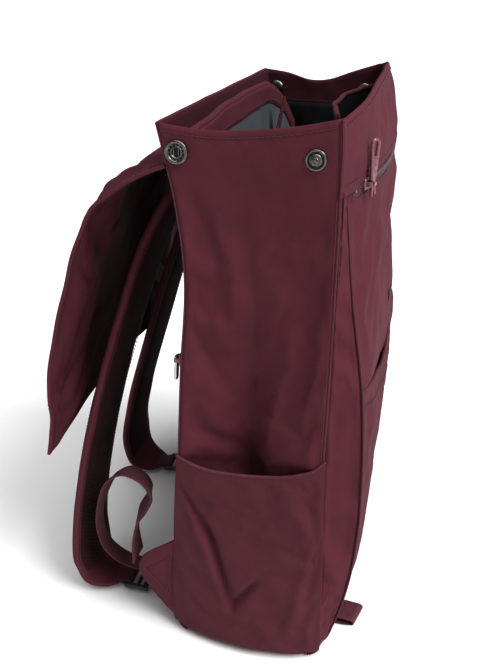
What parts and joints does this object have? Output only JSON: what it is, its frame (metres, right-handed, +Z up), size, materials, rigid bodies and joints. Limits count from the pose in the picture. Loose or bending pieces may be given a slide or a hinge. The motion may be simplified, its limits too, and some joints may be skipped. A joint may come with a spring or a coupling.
{
  "type": "travel backpack",
  "caption": "Upright flap-top travel backpack with a front zip pouch, side pockets, snaps, a laptop sleeve and padded shoulder straps, standing open.",
  "frame": {"origin": "middle of the base on the surface that the pack stands on", "axes": "+Z up the pack, -Y out of its front pouch, +Y towards the wearer, -X the wearer's left"},
  "size_m": [0.2934, 0.2747, 0.43],
  "materials": {
    "shell_cloth": "dense burgundy twill with a faint sheen",
    "bottom_cloth": "coated burgundy twill",
    "pocket_cloth": "burgundy twill",
    "lining_cloth": "charcoal plain-weave lining",
    "facing_cloth": "burgundy twill hem facing",
    "grey_lining": "grey plain-weave lining",
    "padding": "closed-cell foam",
    "air_mesh": "ribbed spacer mesh",
    "webbing_tape": "woven nylon webbing",
    "zip_tape": "woven zip tape",
    "zip_coil": "nylon coil",
    "lock_plastic": "fine-grained acetal",
    "pull_plastic": "smooth moulded rubbery plastic",
    "board_plastic": "polyethylene sheet",
    "snap_metal": "antique silver",
    "slider_metal": "painted burgundy",
    "pull_metal": "satin nickel",
    "badge_metal": "dark satin, blank"
  },
  "bodies": {
    "pack": {"side_panel_left": "shell_cloth", "side_panel_right": "shell_cloth", "bottom_panel": "bottom_cloth", "base_board": "board_plastic", "back_panel_shell": "shell_cloth", "back_foam": "padding", "back_mesh_pad": "air_mesh", "strap_yoke": "shell_cloth", "front_wall": "shell_cloth", "front_upper_band": "shell_cloth", "mouth_facing": "facing_cloth", "laptop_divider": "grey_lining", "inner_slip_pocket": "lining_cloth", "front_gusset_left": "shell_cloth", "front_gusset_right": "shell_cloth", "front_zip_panel": "shell_cloth", "front_slip_pocket": "pocket_cloth", "front_zip_tapes": "zip_tape", "front_zip_coil": "zip_coil", "front_zip_stops": "slider_metal", "badge_plate": "badge_metal", "side_pocket_left": "pocket_cloth", "side_pocket_right": "pocket_cloth", "corner_tab_left": "shell_cloth", "corner_tab_right": "shell_cloth", "snap_sockets": "snap_metal", "snap_studs": "snap_metal", "snap_caps": "snap_metal", "side_zip_tapes": "zip_tape", "side_zip_coil": "zip_coil", "bottom_loop": "webbing_tape", "flap_seam_piping": "shell_cloth", "strap_left_upper_pad": "shell_cloth", "strap_left_upper_mesh": "air_mesh", "strap_right_upper_pad": "shell_cloth", "strap_right_upper_mesh": "air_mesh", "webbing_left": "webbing_tape", "webbing_right": "webbing_tape"},
    "flap_root": {"flap_root_shell": "shell_cloth", "flap_root_lining": "facing_cloth"},
    "flap_top": {"flap_top_shell": "shell_cloth", "flap_top_lining": "facing_cloth"},
    "flap_drop": {"flap_drop_shell": "shell_cloth", "flap_drop_lining": "facing_cloth"},
    "strap_left": {"strap_left_lower_pad": "shell_cloth", "strap_left_lower_mesh": "air_mesh", "strap_left_anchor": "webbing_tape"},
    "strap_right": {"strap_right_lower_pad": "shell_cloth", "strap_right_lower_mesh": "air_mesh", "strap_right_anchor": "webbing_tape"},
    "ladder_lock_left": {"ladder_lock_left": "lock_plastic"},
    "ladder_lock_right": {"ladder_lock_right": "lock_plastic"},
    "front_zip_slider": {"front_zip_slider": "slider_metal"},
    "front_zip_puller": {"front_zip_puller": "pull_plastic"},
    "side_zip_slider": {"side_zip_slider": "slider_metal"},
    "side_zip_puller": {"side_zip_puller": "pull_metal"}
  },
  "joints": [
    {"name": "flap_lift", "type": "hinge", "parent": "pack", "child": "flap_root", "pos_m": [0, 0.0515, 0.405], "axis": [1, 0, 0], "range_deg": [0, 103.8]},
    {"name": "flap_top_fold", "type": "hinge", "parent": "flap_root", "child": "flap_top", "pos_m": [0, 0.078, 0.391], "axis": [1, 0, 0], "range_deg": [0, 129.2]},
    {"name": "flap_drop_fold", "type": "hinge", "parent": "flap_top", "child": "flap_drop", "pos_m": [0, 0.1455, 0.274], "axis": [1, 0, 0], "range_deg": [0, 110.2]},
    {"name": "strap_left_bend", "type": "hinge", "parent": "pack", "child": "strap_left", "pos_m": [-0.094, 0.142, 0.141], "axis": [1, 0, 0], "range_deg": [0, 50], "deforming": ["webbing_left"]},
    {"name": "strap_right_bend", "type": "hinge", "parent": "pack", "child": "strap_right", "pos_m": [0.063, 0.155, 0.15], "axis": [1, 0, 0], "range_deg": [0, 50], "deforming": ["webbing_right"]},
    {"name": "ladder_lock_left_tilt", "type": "hinge", "parent": "strap_left", "child": "ladder_lock_left", "pos_m": [-0.103, 0.117, 0.008], "axis": [1, 0, 0], "range_deg": [-35, 0]},
    {"name": "ladder_lock_right_tilt", "type": "hinge", "parent": "strap_right", "child": "ladder_lock_right", "pos_m": [0.065, 0.14, 0.008], "axis": [1, 0, 0], "range_deg": [-35, 0]},
    {"name": "front_zip_run", "type": "hinge", "parent": "pack", "child": "front_zip_slider", "pos_m": [0, 0.40144, 0.391], "axis": [0, 0, 1], "range_deg": [-0.7, 25.5]},
    {"name": "front_zip_puller_flip", "type": "hinge", "parent": "front_zip_slider", "child": "front_zip_puller", "pos_m": [-0.10383, -0.07082, 0.391], "axis": [0.9767, -0.2147, 0], "range_deg": [0, 188]},
    {"name": "side_zip_run", "type": "slide", "parent": "pack", "child": "side_zip_slider", "axis": [0, -0.0694, 0.9976], "range_m": [-0.146, 0.06]},
    {"name": "side_zip_puller_flip", "type": "hinge", "parent": "side_zip_slider", "child": "side_zip_puller", "pos_m": [-0.1345, 0.0501, 0.26835], "axis": [1, 0, 0], "range_deg": [-4, 160]}
  ]
}
